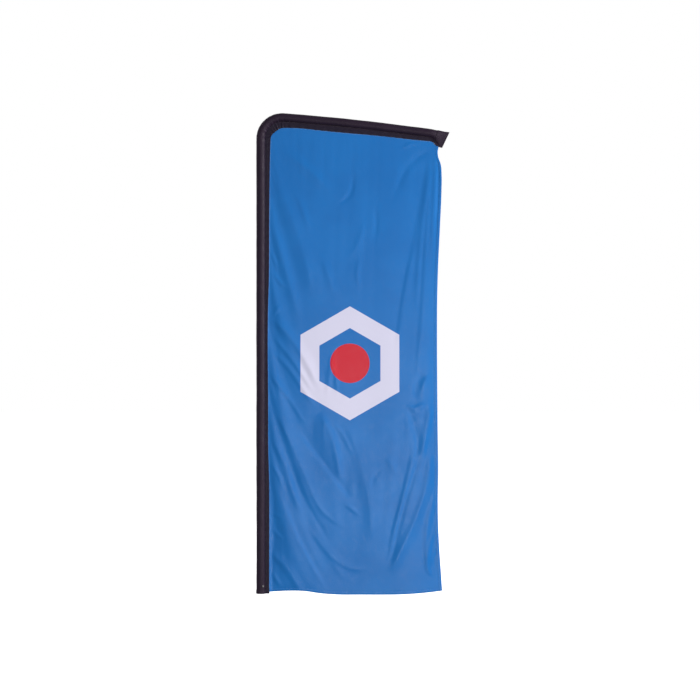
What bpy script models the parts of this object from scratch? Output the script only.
"""A feather flag with an L-shaped pole, 2.0 m tall and 0.8 m wide.

The pole is two plug-in tubes, a bent elbow and a tapered arm rod. A black fabric sleeve runs over all of it
and carries the banner cloth. A socket in the foot takes a base's spindle, and the flag turns on it.

Frame: the origin is the centre of the pole's foot, +Z runs up the pole, +X is the side that the arm and the
cloth are on, and the front of the banner faces -Y. Lengths are in metres and angles in radians.
"""

import math

import bmesh
import bpy
from mathutils import Matrix, Vector

# ---- overall sizes ----
BANNER_HEIGHT = 2.000  # foot to the top of the sleeve
BANNER_REACH = 0.779  # pole axis to the sleeve's far end
BEND_RADIUS = 0.090  # centreline of the elbow
ARM_SLOPE_START = math.radians(4.5)  # how far the arm points below level where it leaves the elbow
ARM_SLOPE_END = math.radians(8.2)  # and at its tip, bent down by the cloth

# ---- clearances ----
FIT_GAP = 0.0003  # between pieces that sit in or on each other
RUNNING_GAP = 0.0001  # radial, between the socket and the bushes that turn on it

# ---- pole ----
LOWER_POLE_RADIUS = 0.0140
LOWER_POLE_WALL = 0.0012
LOWER_POLE_TOP = 1.050
POLE_WALL = 0.0013  # upper pole and elbow
SPIGOT_WALL = 0.0015
PLUG_DEPTH = 0.120  # how far the upper pole goes into the lower one
SPIGOT_DEPTH = 0.060  # how far the spigot goes into the elbow, and into the upper pole
ELBOW_FOOT = 0.062  # straight stretch of the elbow below its bend
ELBOW_MOUTH = 0.050  # stretch of the elbow past its bend
COLLAR_HEIGHT = 0.012

# ---- arm ----
ROD_ROOT_RADIUS = 0.0070
ROD_TIP_RADIUS = 0.0040
ROD_WALL = 0.0018
FERRULE_DEPTH = 0.044
FERRULE_FLANGE = 0.004
TIP_CAP_WALL = 0.0015
TIP_CAP_LENGTH = 0.022
ROD_END_SHORT = 0.036  # the tip cap's end to the sleeve's end

# ---- spindle socket and its bearing ----
SPINDLE_BORE_RADIUS = 0.0082
SOCKET_WALL = 0.0018
SOCKET_DEPTH = 0.170
SOCKET_ROOF = 0.004
BUSH_LENGTH = 0.018
BUSH_FLANGE = 0.0037
THRUST_COLLAR_BOTTOM = 0.112
THRUST_COLLAR_HEIGHT = 0.006
WASHER_THICKNESS = 0.0015
RING_THICKNESS = 0.0014
RING_GROOVE_DEPTH = 0.0008
RING_SPLIT = math.radians(40.0)

# ---- section locks: a button on a leaf spring, one at each joint of the pole ----
BUTTON_RADIUS = 0.0040
BUTTON_PROUD = 0.0020
BUTTON_SHOULDER = 0.0010
LOCK_BELOW_MOUTH = 0.035
SPRING_THICKNESS = 0.0007
SPRING_WIDTH = 0.006
SPRING_LEG = 0.045

# ---- fasteners ----
RIVET_RADIUS = 0.0020
RIVET_HEAD_RADIUS = 0.0038
RIVET_HEAD_HEIGHT = 0.0012
SNAP_HEIGHT = 0.032
SNAP_ANGLE = math.radians(-60.0)  # round the pole from +X, so the snap faces the front of the flag
SNAP_POST_RADIUS = 0.0018
SNAP_BASE_RADIUS = 0.0045
SNAP_CAP_RADIUS = 0.0055
SNAP_CAP_HEIGHT = 0.0032
SNAP_PLATE = 0.0007

# ---- sleeve ----
SLEEVE_WALL = 0.0008
SLEEVE_SLACK = 0.0019  # between the sleeve and the lock buttons
SLEEVE_ARM_SLACK = 0.0037  # between the sleeve and the elbow
TAIL_THICKNESS = 0.0024  # two layers of the sleeve, sewn flat on the cloth's edge
TAIL_ON_UPRIGHT = 0.0133  # width of the tail past the round of the sleeve
TAIL_ON_ARM = 0.0278  # at the elbow
TAIL_AT_TIP = 0.0222
FLARE_LENGTH = 0.075  # the stretch over which the round sleeve goes flat at its end
FLARE_HALF_WIDTH = 0.0325
FLARE_HALF_THICKNESS = 0.0040
FLARE_OFFSET = 0.0195  # the flat end's middle lies this far to the cloth's side
FLARE_TAIL = 0.0010
FLARE_LEAN = math.tan(math.radians(17.0))  # the end is cut on the slant
END_SEAM = 0.003
PATCH_THICKNESS = 0.0012

# ---- cloth ----
CLOTH_THICKNESS = 0.0005
CLOTH_INSET = 0.026  # the sleeve's far end to the widest point of the side edge
CLOTH_FOOT = 0.008  # lower corner beside the sleeve
CLOTH_WAVE = 0.011  # depth of the folds in the lower half
CLOTH_WAVES = 2.5
CLOTH_BILLOW = 0.004
CLOTH_COLUMNS, CLOTH_ROWS = 20, 24
# The free side edge, as (share of the height, distance in from the widest point).
SIDE_EDGE = (
    (0.0, 0.0), (0.08, 0.008), (0.3, 0.019), (0.6, 0.020), (0.85, 0.008), (0.95, 0.002), (1.0, 0.016),
)
# The lower edge, as (share of the width, height).
LOWER_EDGE = ((0.0, CLOTH_FOOT), (0.28, 0.006), (0.40, -0.005), (0.78, -0.006), (0.94, 0.004), (1.0, 0.014))

# ---- facets ----
ROUND = 28
ROD_ROUND = 16
SLEEVE_ROUND = 20
BEND_STEPS = 9
ARM_STEPS = 6
FLARE_STEPS = 8
PATCH_STEPS = 5  # the patch covers this many of them, and shares their stations

# ---- sizes worked out from those above ----
LOWER_POLE_BORE = LOWER_POLE_RADIUS - LOWER_POLE_WALL
POLE_RADIUS = LOWER_POLE_BORE - FIT_GAP
POLE_BORE = POLE_RADIUS - POLE_WALL
SPIGOT_RADIUS = POLE_BORE - FIT_GAP
SPIGOT_BORE = SPIGOT_RADIUS - SPIGOT_WALL
SOCKET_RADIUS = SPINDLE_BORE_RADIUS + SOCKET_WALL
BUSH_BORE = SOCKET_RADIUS + RUNNING_GAP
BUSH_RADIUS = LOWER_POLE_BORE - FIT_GAP
THRUST_RADIUS = LOWER_POLE_BORE - 2 * FIT_GAP
WASHER_BOTTOM = THRUST_COLLAR_BOTTOM + THRUST_COLLAR_HEIGHT + FIT_GAP
UPPER_BUSH_BOTTOM = WASHER_BOTTOM + WASHER_THICKNESS + FIT_GAP
RING_BOTTOM = UPPER_BUSH_BOTTOM + BUSH_LENGTH + FIT_GAP

SLEEVE_RADIUS = LOWER_POLE_RADIUS + BUTTON_PROUD + SLEEVE_SLACK + SLEEVE_WALL  # on the upright
SLEEVE_ARM_RADIUS = POLE_RADIUS + SLEEVE_ARM_SLACK + SLEEVE_WALL
CLOTH_REACH = BANNER_REACH - CLOTH_INSET

BEND_START = BANNER_HEIGHT - SLEEVE_RADIUS - BEND_RADIUS  # also the height at which the bend starts
BEND_ANGLE = math.pi / 2 + ARM_SLOPE_START
BEND_END = BEND_START + BEND_RADIUS * BEND_ANGLE
BEND_END_X = BEND_RADIUS * (1 - math.cos(BEND_ANGLE))
ARM_TURN = ARM_SLOPE_END - ARM_SLOPE_START
ARM_LENGTH = (BANNER_REACH - BEND_END_X) * ARM_TURN / (math.sin(ARM_SLOPE_END) - math.sin(ARM_SLOPE_START))
SPINE_END = BEND_END + ARM_LENGTH
ELBOW_BOTTOM = BEND_START - ELBOW_FOOT
ELBOW_END = BEND_END + ELBOW_MOUTH
UPPER_POLE_BOTTOM = LOWER_POLE_TOP - PLUG_DEPTH
UPPER_POLE_TOP = ELBOW_BOTTOM - FIT_GAP
ROD_START = ELBOW_END - FERRULE_DEPTH
TIP_CAP_END = SPINE_END - ROD_END_SHORT
ROD_END = TIP_CAP_END - TIP_CAP_WALL - FIT_GAP
PATCH_START = SPINE_END - FLARE_LENGTH * PATCH_STEPS / FLARE_STEPS


# ---- the scene, materials and objects ----
def clear_scene():
    for obj in list(bpy.data.objects):
        bpy.data.objects.remove(obj)


def material(name, colour, roughness, metallic=0.0):
    made = bpy.data.materials.new(name)
    made.use_nodes = True
    shader = made.node_tree.nodes["Principled BSDF"]
    shader.inputs["Base Color"].default_value = (*colour, 1.0)
    shader.inputs["Roughness"].default_value = roughness
    shader.inputs["Metallic"].default_value = metallic
    return made


def finish(name, bm, surface, parent=None):
    """The bmesh as a named object: doubles merged, faces pointing out, round sides smooth."""
    bmesh.ops.remove_doubles(bm, verts=bm.verts, dist=1e-7)
    bmesh.ops.recalc_face_normals(bm, faces=bm.faces)
    mesh = bpy.data.meshes.new(name)
    bm.to_mesh(mesh)
    bm.free()
    mesh.shade_smooth()
    mesh.set_sharp_from_angle(angle=math.radians(35))
    obj = bpy.data.objects.new(name, mesh)
    obj.data.materials.append(surface)
    obj.parent = parent
    bpy.context.scene.collection.objects.link(obj)
    return obj


def turned(name, profile, surface, parent=None, steps=ROUND):
    """A closed (radius, height) profile turned once round Z."""
    bm = bmesh.new()
    verts = [bm.verts.new((r, 0, z)) for r, z in profile]
    edges = [bm.edges.new(pair) for pair in zip(verts, verts[1:] + verts[:1])]
    bmesh.ops.spin(
        bm, geom=verts + edges, cent=(0, 0, 0), axis=(0, 0, 1), angle=2 * math.pi, steps=steps, use_merge=True
    )
    bmesh.ops.remove_doubles(bm, verts=bm.verts, dist=1e-7)
    on_axis = [e for e in bm.edges if all(math.hypot(v.co.x, v.co.y) < 1e-7 for v in e.verts)]
    bmesh.ops.delete(bm, geom=on_axis, context="EDGES")
    return finish(name, bm, surface, parent)


def pipe(name, outer, inner, bottom, top, surface, parent=None):
    """A straight tube on Z."""
    return turned(name, [(inner, bottom), (outer, bottom), (outer, top), (inner, top)], surface, parent)


def skin(bm, loops):
    """Faces along a row of point loops, each loop with as many points. Returns the loops as vertices."""
    rows = [[bm.verts.new(p) for p in loop] for loop in loops]
    for low, high in zip(rows, rows[1:]):
        for i in range(len(low)):
            j = (i + 1) % len(low)
            bm.faces.new((low[i], low[j], high[j], high[i]))
    return rows


def rim(bm, outer, inner):
    """The ring of faces that joins an outer loop of vertices to an inner one."""
    for i in range(len(outer)):
        j = (i + 1) % len(outer)
        bm.faces.new((outer[i], outer[j], inner[j], inner[i]))


def hollow(name, outer, inner, surface, parent=None, blind=False):
    """A tube between two rows of loops. It is open at both ends, or closed at its far end if it is blind."""
    bm = bmesh.new()
    outside, inside = skin(bm, outer), skin(bm, inner)
    rim(bm, outside[0], inside[0])
    if blind:
        bm.faces.new(outside[-1])
        bm.faces.new(inside[-1])
    else:
        rim(bm, outside[-1], inside[-1])
    return finish(name, bm, surface, parent)


def extruded(name, outline, width, surface, parent=None):
    """A closed outline in the YZ plane, given a width along X."""
    bm = bmesh.new()
    low = [bm.verts.new((-width / 2, y, z)) for y, z in outline]
    high = [bm.verts.new((width / 2, y, z)) for y, z in outline]
    bm.faces.new(low)
    bm.faces.new(high)
    for i in range(len(outline)):
        j = (i + 1) % len(outline)
        bm.faces.new((low[i], low[j], high[j], high[i]))
    return finish(name, bm, surface, parent)


def point_radially(obj, angle, height):
    """Lays an object's Z axis along the pole's radius at that angle, that far up from its parent's origin."""
    obj.matrix_basis = (
        Matrix.Translation((0, 0, height))
        @ Matrix.Rotation(angle, 4, "Z")
        @ Matrix.Rotation(math.pi / 2, 4, "Y")
    )


def drill(targets, radius, angle, height, start, end):
    """Cuts a radial hole through each target, from one distance off the pole's axis to another."""
    cutter = turned("drill", [(0, start), (radius, start), (radius, end), (0, end)], METAL, steps=20)
    point_radially(cutter, angle, height)
    cutter.hide_render = True
    cutter.display_type = "WIRE"
    for target in targets:
        cut = target.modifiers.new("hole", "BOOLEAN")
        cut.operation = "DIFFERENCE"
        cut.solver = "EXACT"
        cut.object = cutter


# ---- the centreline of the pole and arm ----
def along(point, heading, curvature, distance):
    """(point, heading) after going that distance on a line or arc in XZ. Heading is from +Z to +X."""
    x, z = point
    if abs(curvature) < 1e-9:
        return (x + distance * math.sin(heading), z + distance * math.cos(heading)), heading
    turned_to = heading + curvature * distance
    return (
        x + (math.cos(heading) - math.cos(turned_to)) / curvature,
        z + (math.sin(turned_to) - math.sin(heading)) / curvature,
    ), turned_to


def spine(s):
    """(point, heading) on the centreline, s metres along it from the foot."""
    place = along((0.0, 0.0), 0.0, 0.0, min(s, BEND_START))
    if s > BEND_START:
        place = along(*place, 1 / BEND_RADIUS, min(s, BEND_END) - BEND_START)
    if s > BEND_END:
        place = along(*place, ARM_TURN / ARM_LENGTH, s - BEND_END)
    return place


def off_spine(s, across, out=0.0, back=0.0):
    """The point beside the centreline: across is to the cloth's side, out along +Y, back to the foot."""
    (x, z), heading = spine(s)
    return Vector((
        x + across * math.cos(heading) - back * math.sin(heading),
        out,
        z - across * math.sin(heading) - back * math.cos(heading),
    ))


def steps_between(start, end, count):
    return [start + (end - start) * i / count for i in range(count + 1)]


def round_loop(s, radius, count=ROUND):
    return [
        off_spine(s, radius * math.cos(a), radius * math.sin(a))
        for a in (2 * math.pi * i / count for i in range(count))
    ]


# ---- the sleeve's section ----
def smooth(t):
    t = min(max(t, 0.0), 1.0)
    return t * t * (3 - 2 * t)


def mix(a, b, t):
    return a + (b - a) * t


def sleeve_shape(s):
    """(middle, half width, half thickness, end of the tail, lean) of the sleeve s metres along the pole."""
    turn = smooth((s - BEND_START) / (BEND_END - BEND_START))
    flat = smooth((s - SPINE_END + FLARE_LENGTH) / FLARE_LENGTH)
    radius = mix(SLEEVE_RADIUS, SLEEVE_ARM_RADIUS, turn)
    tail_on_arm = mix(TAIL_ON_ARM, TAIL_AT_TIP, max(0.0, (s - BEND_END) / ARM_LENGTH))
    tail = radius + mix(TAIL_ON_UPRIGHT, tail_on_arm, turn)
    return (
        FLARE_OFFSET * flat,
        mix(radius, FLARE_HALF_WIDTH, flat),
        mix(radius, FLARE_HALF_THICKNESS, flat),
        mix(tail, FLARE_OFFSET + FLARE_HALF_WIDTH + FLARE_TAIL, flat),
        FLARE_LEAN * flat,
    )


def widened(section, distance):
    """A closed outline moved outwards by that distance, along the bisector of each corner."""
    moved = []
    for i, point in enumerate(section):
        before = (point - section[i - 1]).normalized()
        after = (section[(i + 1) % len(section)] - point).normalized()
        normals = Vector((before.y, -before.x)), Vector((after.y, -after.x))
        moved.append(point + (normals[0] + normals[1]) * distance / (1 + normals[0].dot(normals[1])))
    return moved


def sleeve_loop(s, grow=0.0, lumen=False):
    """The sleeve's section as points, grown by grow: its outside with the tail, or its round lumen."""
    middle, half_width, half_thickness, tail, lean = sleeve_shape(s)
    root = math.asin(TAIL_THICKNESS / 2 / half_thickness)
    angles = steps_between(root, 2 * math.pi - root, SLEEVE_ROUND)
    if lumen:
        angles += [-root / 3, root / 3]
    section = [Vector((middle + half_width * math.cos(a), half_thickness * math.sin(a))) for a in angles]
    if not lumen:
        section += [Vector((tail, -TAIL_THICKNESS / 2)), Vector((tail, TAIL_THICKNESS / 2))]
    top = middle - half_width
    return [off_spine(s, p.x, p.y, lean * (p.x - top)) for p in widened(section, grow)]


def sleeve_stations(end):
    """Distances along the centreline at which the sleeve's section is drawn."""
    flare = SPINE_END - FLARE_LENGTH
    rows = [0.0, BEND_START]
    rows += steps_between(BEND_START, BEND_END, BEND_STEPS)[1:]
    rows += steps_between(BEND_END, flare, ARM_STEPS)[1:]
    return rows + steps_between(flare, end, FLARE_STEPS)[1:]


# ---- the pieces ----
def make_socket(parent):
    """What stays on the base's spindle: a blind tube with a thrust collar, a washer and a split ring."""
    groove = SOCKET_RADIUS - RING_GROOVE_DEPTH
    ring_top = RING_BOTTOM + RING_THICKNESS
    top = SOCKET_DEPTH + SOCKET_ROOF
    collar_top = THRUST_COLLAR_BOTTOM + THRUST_COLLAR_HEIGHT
    turned("spindle_socket", [
        (SPINDLE_BORE_RADIUS, 0),
        (SOCKET_RADIUS, 0),
        (SOCKET_RADIUS, THRUST_COLLAR_BOTTOM),
        (THRUST_RADIUS, THRUST_COLLAR_BOTTOM),
        (THRUST_RADIUS, collar_top),
        (SOCKET_RADIUS, collar_top),
        (SOCKET_RADIUS, RING_BOTTOM - FIT_GAP),
        (groove, RING_BOTTOM - FIT_GAP),
        (groove, ring_top + FIT_GAP),
        (SOCKET_RADIUS, ring_top + FIT_GAP),
        (SOCKET_RADIUS, top),
        (0, top),
        (0, SOCKET_DEPTH),
        (SPINDLE_BORE_RADIUS, SOCKET_DEPTH),
    ], NYLON, parent)
    pipe("thrust_washer", THRUST_RADIUS, SOCKET_RADIUS + FIT_GAP, WASHER_BOTTOM,
         WASHER_BOTTOM + WASHER_THICKNESS, STEEL, parent)
    make_split_ring(groove + FIT_GAP, parent)


def make_split_ring(inner, parent):
    """The ring in the socket's groove that keeps the pole from lifting off, open at the back."""
    angles = steps_between(RING_SPLIT / 2, 2 * math.pi - RING_SPLIT / 2, ROUND)
    section = [
        (inner, RING_BOTTOM),
        (THRUST_RADIUS, RING_BOTTOM),
        (THRUST_RADIUS, RING_BOTTOM + RING_THICKNESS),
        (inner, RING_BOTTOM + RING_THICKNESS),
    ]
    bm = bmesh.new()
    rows = skin(bm, [[(r * math.sin(a), r * math.cos(a), z) for r, z in section] for a in angles])
    bm.faces.new(rows[0])
    bm.faces.new(rows[-1])
    finish("retaining_ring", bm, STEEL, parent)


def make_poles(parent):
    """The two straight tubes, the bushes in the foot and the collar at the joint."""
    foot = BUSH_FLANGE + FIT_GAP
    lower = pipe("lower_pole", LOWER_POLE_RADIUS, LOWER_POLE_BORE, foot, LOWER_POLE_TOP, METAL, parent)
    turned("foot_bush", [
        (BUSH_BORE, 0),
        (LOWER_POLE_RADIUS, 0),
        (LOWER_POLE_RADIUS, BUSH_FLANGE),
        (BUSH_RADIUS, BUSH_FLANGE),
        (BUSH_RADIUS, BUSH_FLANGE + BUSH_LENGTH),
        (BUSH_BORE, BUSH_FLANGE + BUSH_LENGTH),
    ], NYLON, parent)
    top = UPPER_BUSH_BOTTOM + BUSH_LENGTH
    pipe("upper_bush", BUSH_RADIUS, BUSH_BORE, UPPER_BUSH_BOTTOM, top, NYLON, parent)
    upper = pipe("upper_pole", POLE_RADIUS, POLE_BORE, UPPER_POLE_BOTTOM, UPPER_POLE_TOP, METAL, parent)
    collar_bore = POLE_RADIUS + FIT_GAP
    collar_foot = LOWER_POLE_TOP + FIT_GAP
    collar_top = collar_foot + COLLAR_HEIGHT
    turned("joint_collar", [
        (collar_bore, collar_foot),
        (LOWER_POLE_RADIUS, collar_foot),
        (LOWER_POLE_RADIUS, collar_foot + COLLAR_HEIGHT / 2),
        (mix(collar_bore, LOWER_POLE_RADIUS, 0.4), collar_top),
        (collar_bore, collar_top),
    ], NYLON, parent)
    return lower, upper


def make_elbow(parent):
    """The bent tube, with the spigot that plugs it into the upper pole and the rivets that hold it."""
    stations = [ELBOW_BOTTOM, *steps_between(BEND_START, BEND_END, BEND_STEPS), ELBOW_END]
    elbow = hollow(
        "elbow",
        [round_loop(s, POLE_RADIUS) for s in stations],
        [round_loop(s, POLE_BORE) for s in stations],
        METAL, parent,
    )
    spigot = pipe("elbow_spigot", SPIGOT_RADIUS, SPIGOT_BORE, ELBOW_BOTTOM - SPIGOT_DEPTH,
                  ELBOW_BOTTOM + SPIGOT_DEPTH, METAL, parent)
    tail_radius = RIVET_RADIUS + 2 * FIT_GAP  # spread a little behind the spigot's wall
    for number, share in ((1, 0.35), (2, 0.70)):
        height = ELBOW_BOTTOM + SPIGOT_DEPTH * share
        angle = math.pi / 2 if number == 1 else -math.pi / 2
        drill([elbow, spigot], RIVET_RADIUS + FIT_GAP, angle, height, SPIGOT_BORE / 2, POLE_RADIUS * 1.5)
        head = POLE_RADIUS + FIT_GAP
        bulb = SPIGOT_BORE - FIT_GAP
        rivet = turned(f"spigot_rivet_{number}", [
            (0, bulb - RIVET_RADIUS),
            (tail_radius, bulb - RIVET_RADIUS),
            (tail_radius + FIT_GAP, bulb - FIT_GAP),
            (RIVET_RADIUS, bulb - FIT_GAP),
            (RIVET_RADIUS, head),
            (RIVET_HEAD_RADIUS, head),
            (RIVET_HEAD_RADIUS * 0.7, head + RIVET_HEAD_HEIGHT * 0.7),
            (0, head + RIVET_HEAD_HEIGHT),
        ], STEEL, parent, steps=16)
        point_radially(rivet, angle, height)
    return spigot


def make_lock(name, height, inner_bore, inner_tube, outer_tube, outer_radius, parent):
    """A button that pokes out through both tubes at a joint of the pole, and the leaf spring behind it.

    The button is pressed in towards the pole's axis, so it hangs from an empty on that axis.
    """
    angle = math.pi / 2  # at the back of the flag
    hole = BUTTON_RADIUS + FIT_GAP
    drill([inner_tube, outer_tube], hole, angle, height, inner_bore / 2, outer_radius * 1.5)
    shoulder = inner_bore * math.cos(math.asin(min((hole + BUTTON_SHOULDER) / inner_bore, 0.9))) - FIT_GAP
    tip = outer_radius + BUTTON_PROUD
    button_axis = empty(f"{name}_axis", parent)
    button_axis.location = (0, 0, height)
    button = turned(f"{name}_button", [
        (0, shoulder - BUTTON_SHOULDER),
        (hole + BUTTON_SHOULDER, shoulder - BUTTON_SHOULDER),
        (hole + BUTTON_SHOULDER, shoulder),
        (BUTTON_RADIUS, shoulder),
        (BUTTON_RADIUS, tip - BUTTON_RADIUS * 0.35),
        (BUTTON_RADIUS * 0.85, tip - BUTTON_RADIUS * 0.12),
        (BUTTON_RADIUS * 0.5, tip),
        (0, tip),
    ], STEEL, button_axis, steps=24)
    point_radially(button, angle, 0.0)

    # The spring is a V: one leg lies behind the button, the other bears on the far wall.
    near = shoulder - BUTTON_SHOULDER - FIT_GAP
    half_width = SPRING_WIDTH / 2
    far = -math.sqrt(inner_bore**2 - half_width**2) + FIT_GAP
    thick = SPRING_THICKNESS
    top, bottom = BUTTON_RADIUS * 2, BUTTON_RADIUS * 2 - SPRING_LEG
    middle = (near + far) / 2
    outline = [
        (near, top),
        (near, -BUTTON_RADIUS),
        (middle + thick * 1.5, bottom),
        (middle - thick * 1.5, bottom),
        (far, -BUTTON_RADIUS),
        (far, top),
        (far + thick, top),
        (far + thick, -BUTTON_RADIUS),
        (middle - thick * 0.5, bottom + thick * 2),
        (middle + thick * 0.5, bottom + thick * 2),
        (near - thick, -BUTTON_RADIUS),
        (near - thick, top),
    ]
    spring = extruded(f"{name}_spring", outline, SPRING_WIDTH, STEEL, parent)
    spring.location = (0, 0, height)


def make_arm(parent):
    """The reducing ferrule in the elbow's mouth, the tapered hollow rod and the rubber cap on its tip."""
    bore = ROD_ROOT_RADIUS + FIT_GAP
    ferrule_end = ELBOW_END + FIT_GAP + FERRULE_FLANGE
    seat = POLE_BORE - FIT_GAP
    stations = steps_between(ROD_START - FIT_GAP, ELBOW_END, 3)
    outer = [round_loop(s, seat) for s in stations]
    lip = ELBOW_END + FIT_GAP
    outer += [round_loop(lip, seat), round_loop(lip, POLE_RADIUS), round_loop(ferrule_end, POLE_RADIUS)]
    inner = [round_loop(s, bore) for s in stations]
    inner += [round_loop(place, bore) for place in (lip, lip + FERRULE_FLANGE / 3, ferrule_end)]
    hollow("arm_ferrule", outer, inner, NYLON, parent)

    def rod_radius(s):
        return mix(ROD_ROOT_RADIUS, ROD_TIP_RADIUS, max(s - ELBOW_END, 0.0) / (ROD_END - ELBOW_END))

    stations = [ROD_START, *steps_between(ferrule_end + FIT_GAP, ROD_END, ARM_STEPS)]
    hollow(
        "arm_rod",
        [round_loop(s, rod_radius(s), ROD_ROUND) for s in stations],
        [round_loop(s, rod_radius(s) - ROD_WALL, ROD_ROUND) for s in stations],
        GLASS_FIBRE, parent,
    )

    mouth = TIP_CAP_END - TIP_CAP_LENGTH
    depth = ROD_END + FIT_GAP
    crown = TIP_CAP_END - TIP_CAP_WALL
    cap_bore = rod_radius(mouth) + FIT_GAP
    cap_radius = cap_bore + TIP_CAP_WALL
    outer = [(mouth, cap_radius), (crown, cap_radius), (TIP_CAP_END, cap_radius * 0.75)]
    inner = [(mouth, cap_bore), (mix(mouth, depth, 0.5), cap_bore), (depth, cap_bore)]
    hollow(
        "arm_tip_cap",
        [round_loop(s, r, ROD_ROUND) for s, r in outer],
        [round_loop(s, r, ROD_ROUND) for s, r in inner],
        RUBBER, parent, blind=True,
    )


def make_sleeve(parent):
    """The fabric sleeve, open at the foot and sewn flat at its far end, and the patch that wraps that end."""
    sleeve = hollow(
        "pole_sleeve",
        [sleeve_loop(s) for s in sleeve_stations(SPINE_END)],
        [sleeve_loop(s, -SLEEVE_WALL, lumen=True) for s in sleeve_stations(SPINE_END - END_SEAM)],
        SLEEVE_FABRIC, parent, blind=True,
    )
    stations = steps_between(PATCH_START, SPINE_END, PATCH_STEPS)
    outer = [sleeve_loop(s, FIT_GAP + PATCH_THICKNESS) for s in stations]
    inner = [sleeve_loop(s, FIT_GAP) for s in stations]
    push_out(outer[-1], FIT_GAP + PATCH_THICKNESS)
    push_out(inner[-1], FIT_GAP)
    hollow("tip_patch", outer, inner, PATCH_FABRIC, parent, blind=True)
    return sleeve


def push_out(loop, distance):
    """Moves a loop at the sleeve's far end on along the arm."""
    _, heading = spine(SPINE_END)
    for point in loop:
        point.x += distance * math.sin(heading)
        point.z += distance * math.cos(heading)


def make_snap(lower_pole, sleeve, parent):
    """The press stud that holds the sleeve down on the pole: a stud through the pole's wall, and its cap."""
    post_hole = SNAP_POST_RADIUS + FIT_GAP
    drill([lower_pole, sleeve], post_hole, SNAP_ANGLE, SNAP_HEIGHT, LOWER_POLE_BORE / 2, SLEEVE_RADIUS * 1.5)
    base = LOWER_POLE_RADIUS + FIT_GAP
    tail = LOWER_POLE_BORE - FIT_GAP
    cap = SLEEVE_RADIUS + FIT_GAP
    post_top = cap + SNAP_CAP_HEIGHT * 0.45
    stud = turned("pole_snap_stud", [
        (0, tail - SNAP_PLATE),
        (SNAP_BASE_RADIUS * 0.6, tail - SNAP_PLATE),
        (SNAP_BASE_RADIUS * 0.6, tail - FIT_GAP),
        (SNAP_POST_RADIUS, tail - FIT_GAP),
        (SNAP_POST_RADIUS, base),
        (SNAP_BASE_RADIUS, base),
        (SNAP_BASE_RADIUS, base + SNAP_PLATE),
        (SNAP_POST_RADIUS, base + SNAP_PLATE),
        (SNAP_POST_RADIUS, post_top),
        (0, post_top),
    ], STEEL, parent, steps=20)
    point_radially(stud, SNAP_ANGLE, SNAP_HEIGHT)
    snap_cap = turned("sleeve_snap_cap", [
        (0, post_top + FIT_GAP),
        (post_hole, post_top + FIT_GAP),
        (post_hole, cap),
        (SNAP_CAP_RADIUS, cap),
        (SNAP_CAP_RADIUS, cap + SNAP_CAP_HEIGHT * 0.4),
        (SNAP_CAP_RADIUS * 0.75, cap + SNAP_CAP_HEIGHT * 0.85),
        (SNAP_CAP_RADIUS * 0.4, cap + SNAP_CAP_HEIGHT),
        (0, cap + SNAP_CAP_HEIGHT),
    ], STEEL, parent, steps=20)
    point_radially(snap_cap, SNAP_ANGLE, SNAP_HEIGHT)


# ---- the cloth ----
def read_curve(points, t):
    """The value at t on a smooth curve through (place, value) points."""
    for (t0, v0), (t1, v1) in zip(points, points[1:]):
        if t <= t1:
            return mix(v0, v1, smooth((t - t0) / (t1 - t0)))
    return points[-1][1]


def cloth_border(s):
    """The point on the sleeve's tail, or on the patch, from which the cloth starts."""
    middle, half_width, _, tail, lean = sleeve_shape(s)
    clear = FIT_GAP + smooth((s - PATCH_START + 0.02) / 0.018) * (PATCH_THICKNESS + 2 * FIT_GAP)
    across = tail + clear
    return off_spine(s, across, 0.0, lean * (across - middle + half_width))


def corner_of_cloth():
    """How far along the centreline the cloth's upper outer corner is, where it meets the side edge."""
    low, high = BEND_END, SPINE_END
    target = CLOTH_REACH - SIDE_EDGE[-1][1]
    for _ in range(40):
        middle = (low + high) / 2
        low, high = (middle, high) if cloth_border(middle).x < target else (low, middle)
    return low


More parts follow.
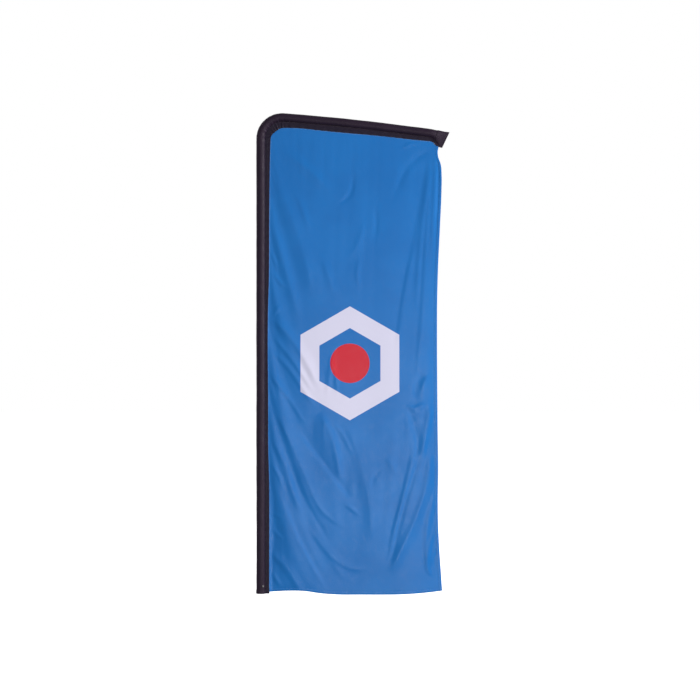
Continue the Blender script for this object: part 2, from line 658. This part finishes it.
def make_cloth(parent):
    """The banner: a thin sheet whose folds deepen away from the sleeve, filled in between its four edges."""
    middle_of_bend = (BEND_START + BEND_END) / 2
    far_corner = corner_of_cloth()
    top_corner = cloth_border(far_corner)

    def left(v):
        return cloth_border(mix(CLOTH_FOOT, middle_of_bend, v))

    def upper(u):
        return cloth_border(mix(middle_of_bend, far_corner, u))

    def right(v):
        return Vector((CLOTH_REACH - read_curve(SIDE_EDGE, v), 0.0, mix(LOWER_EDGE[-1][1], top_corner.z, v)))

    def lower(u):
        return Vector((mix(left(0).x, CLOTH_REACH, u), 0.0, read_curve(LOWER_EDGE, u)))

    corners = left(0), right(0), left(1), right(1)

    def sheet(u, v):
        flat = (
            left(v) * (1 - u) + right(v) * u + lower(u) * (1 - v) + upper(u) * v
            - corners[0] * (1 - u) * (1 - v) - corners[1] * u * (1 - v) - corners[2] * (1 - u) * v
            - corners[3] * u * v
        )
        hang = smooth(2.5 * u) * smooth(1.6 * (1 - v))
        wave = CLOTH_WAVE * math.sin(2 * math.pi * CLOTH_WAVES * (u + 0.25 * (1 - v)))
        return flat + Vector((0, hang * wave - CLOTH_BILLOW * math.sin(math.pi * u) * smooth(2 * (1 - v)), 0))

    half = Vector((0, CLOTH_THICKNESS / 2, 0))
    bm = bmesh.new()
    faces = []
    for side in (-1, 1):
        faces.append([
            [
                bm.verts.new(sheet(i / CLOTH_COLUMNS, j / CLOTH_ROWS) + side * half)
                for i in range(CLOTH_COLUMNS + 1)
            ]
            for j in range(CLOTH_ROWS + 1)
        ])
    for grid in faces:
        for j in range(CLOTH_ROWS):
            for i in range(CLOTH_COLUMNS):
                bm.faces.new((grid[j][i], grid[j][i + 1], grid[j + 1][i + 1], grid[j + 1][i]))
    rim(bm, edge_of(faces[0]), edge_of(faces[1]))
    finish("banner_cloth", bm, CLOTH, parent)


def edge_of(grid):
    """The vertices round the edge of a grid, in order."""
    return grid[0] + [row[-1] for row in grid[1:]] + grid[-1][-2::-1] + [row[0] for row in grid[-2:0:-1]]


def empty(name, parent=None):
    made = bpy.data.objects.new(name, None)
    made.parent = parent
    bpy.context.scene.collection.objects.link(made)
    return made


clear_scene()
METAL = material("anodised_aluminium", (0.62, 0.63, 0.65), 0.38, 0.9)
STEEL = material("steel", (0.55, 0.55, 0.57), 0.3, 1.0)
NYLON = material("black_nylon", (0.03, 0.03, 0.035), 0.45)
GLASS_FIBRE = material("glass_fibre", (0.05, 0.05, 0.055), 0.35)
RUBBER = material("rubber", (0.02, 0.02, 0.02), 0.7)
SLEEVE_FABRIC = material("sleeve_fabric", (0.03, 0.024, 0.038), 0.6)
PATCH_FABRIC = material("patch_fabric", (0.028, 0.023, 0.035), 0.55)
CLOTH = material("banner_cloth", (0.03, 0.19, 0.50), 0.55)

spindle_insert = empty("spindle_insert")
flag = empty("flag", spindle_insert)  # its origin is on the pole's axis, round which it turns
make_socket(spindle_insert)
lower_pole, upper_pole = make_poles(flag)
elbow_spigot = make_elbow(flag)
make_lock("lower_lock", LOWER_POLE_TOP - LOCK_BELOW_MOUTH, POLE_BORE, upper_pole, lower_pole,
          LOWER_POLE_RADIUS, flag)
make_lock("elbow_lock", ELBOW_BOTTOM - LOCK_BELOW_MOUTH, SPIGOT_BORE, elbow_spigot, upper_pole,
          POLE_RADIUS, flag)
make_arm(flag)
sleeve = make_sleeve(flag)
make_snap(lower_pole, sleeve, flag)
make_cloth(flag)
